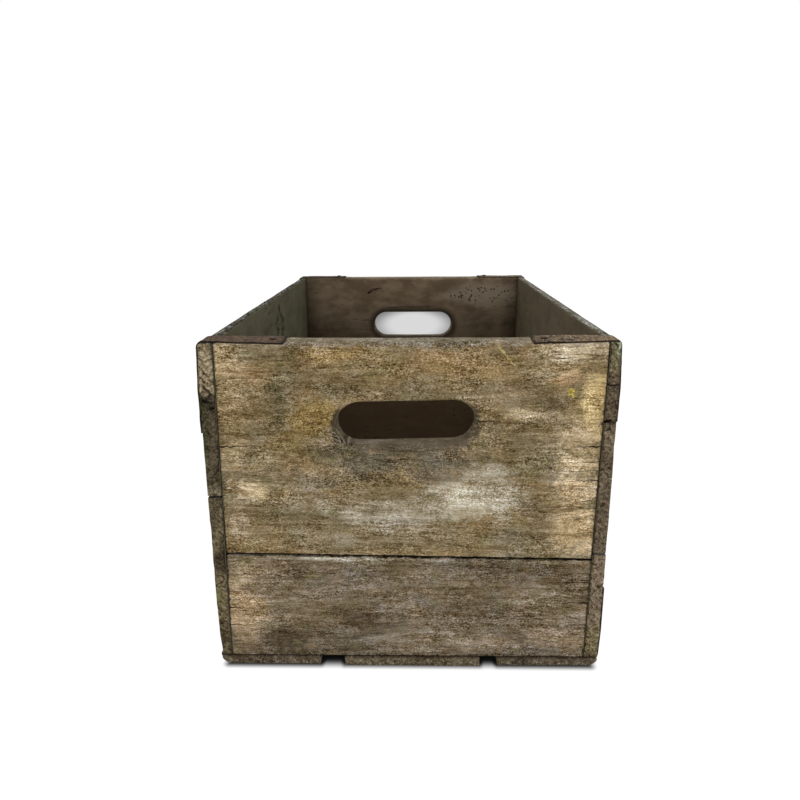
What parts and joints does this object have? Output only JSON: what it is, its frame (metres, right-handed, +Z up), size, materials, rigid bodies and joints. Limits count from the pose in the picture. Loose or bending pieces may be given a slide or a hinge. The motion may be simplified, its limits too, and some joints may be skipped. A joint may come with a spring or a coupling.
{
  "type": "wooden crate",
  "caption": "Open-topped nailed wooden crate for bottles or fruit, with a gapped plank floor, rounded hand holes in its ends and bent steel straps over its corners.",
  "frame": {"origin": "on the floor under the middle of the crate", "axes": "+Z up, +Y along the crate from its front end to its rear end, +X to the right as seen from in front"},
  "size_m": [0.3096, 0.4826, 0.2693],
  "materials": {
    "end_wood": "bare weathered softwood, grey-brown with tan patches, worn edges",
    "side_wood": "bare weathered softwood, dark grey-brown, rough end grain",
    "bottom_wood": "bare weathered softwood, dark brown, dirty",
    "strap_steel": "flat mild steel strap, brown with old rust",
    "nail_steel": "rusted mild steel"
  },
  "bodies": {
    "root": {"front_end_upper_board": "end_wood", "front_end_lower_board": "end_wood", "rear_end_upper_board": "end_wood", "rear_end_lower_board": "end_wood", "left_side_upper_board": "side_wood", "left_side_lower_board": "side_wood", "right_side_upper_board": "side_wood", "right_side_lower_board": "side_wood", "bottom_left_board": "bottom_wood", "bottom_middle_board": "bottom_wood", "bottom_right_board": "bottom_wood", "left_front_corner_strap": "strap_steel", "right_front_corner_strap": "strap_steel", "left_rear_corner_strap": "strap_steel", "right_rear_corner_strap": "strap_steel", "side_nail_left_front_1": "nail_steel", "side_nail_left_front_2": "nail_steel", "side_nail_left_front_3": "nail_steel", "side_nail_left_front_4": "nail_steel", "side_nail_left_front_5": "nail_steel", "side_nail_left_rear_1": "nail_steel", "side_nail_left_rear_2": "nail_steel", "side_nail_left_rear_3": "nail_steel", "side_nail_left_rear_4": "nail_steel", "side_nail_left_rear_5": "nail_steel", "side_nail_right_front_1": "nail_steel", "side_nail_right_front_2": "nail_steel", "side_nail_right_front_3": "nail_steel", "side_nail_right_front_4": "nail_steel", "side_nail_right_front_5": "nail_steel", "side_nail_right_rear_1": "nail_steel", "side_nail_right_rear_2": "nail_steel", "side_nail_right_rear_3": "nail_steel", "side_nail_right_rear_4": "nail_steel", "side_nail_right_rear_5": "nail_steel", "bottom_nail_left_front_1": "nail_steel", "bottom_nail_left_front_2": "nail_steel", "bottom_nail_left_rear_1": "nail_steel", "bottom_nail_left_rear_2": "nail_steel", "bottom_nail_middle_front_1": "nail_steel", "bottom_nail_middle_front_2": "nail_steel", "bottom_nail_middle_rear_1": "nail_steel", "bottom_nail_middle_rear_2": "nail_steel", "bottom_nail_right_front_1": "nail_steel", "bottom_nail_right_front_2": "nail_steel", "bottom_nail_right_rear_1": "nail_steel", "bottom_nail_right_rear_2": "nail_steel", "strap_nail_left_front_top": "nail_steel", "strap_nail_left_front_side_1": "nail_steel", "strap_nail_left_front_side_2": "nail_steel", "strap_nail_left_rear_top": "nail_steel", "strap_nail_left_rear_side_1": "nail_steel", "strap_nail_left_rear_side_2": "nail_steel", "strap_nail_right_front_top": "nail_steel", "strap_nail_right_front_side_1": "nail_steel", "strap_nail_right_front_side_2": "nail_steel", "strap_nail_right_rear_top": "nail_steel", "strap_nail_right_rear_side_1": "nail_steel", "strap_nail_right_rear_side_2": "nail_steel"}
  },
  "joints": []
}
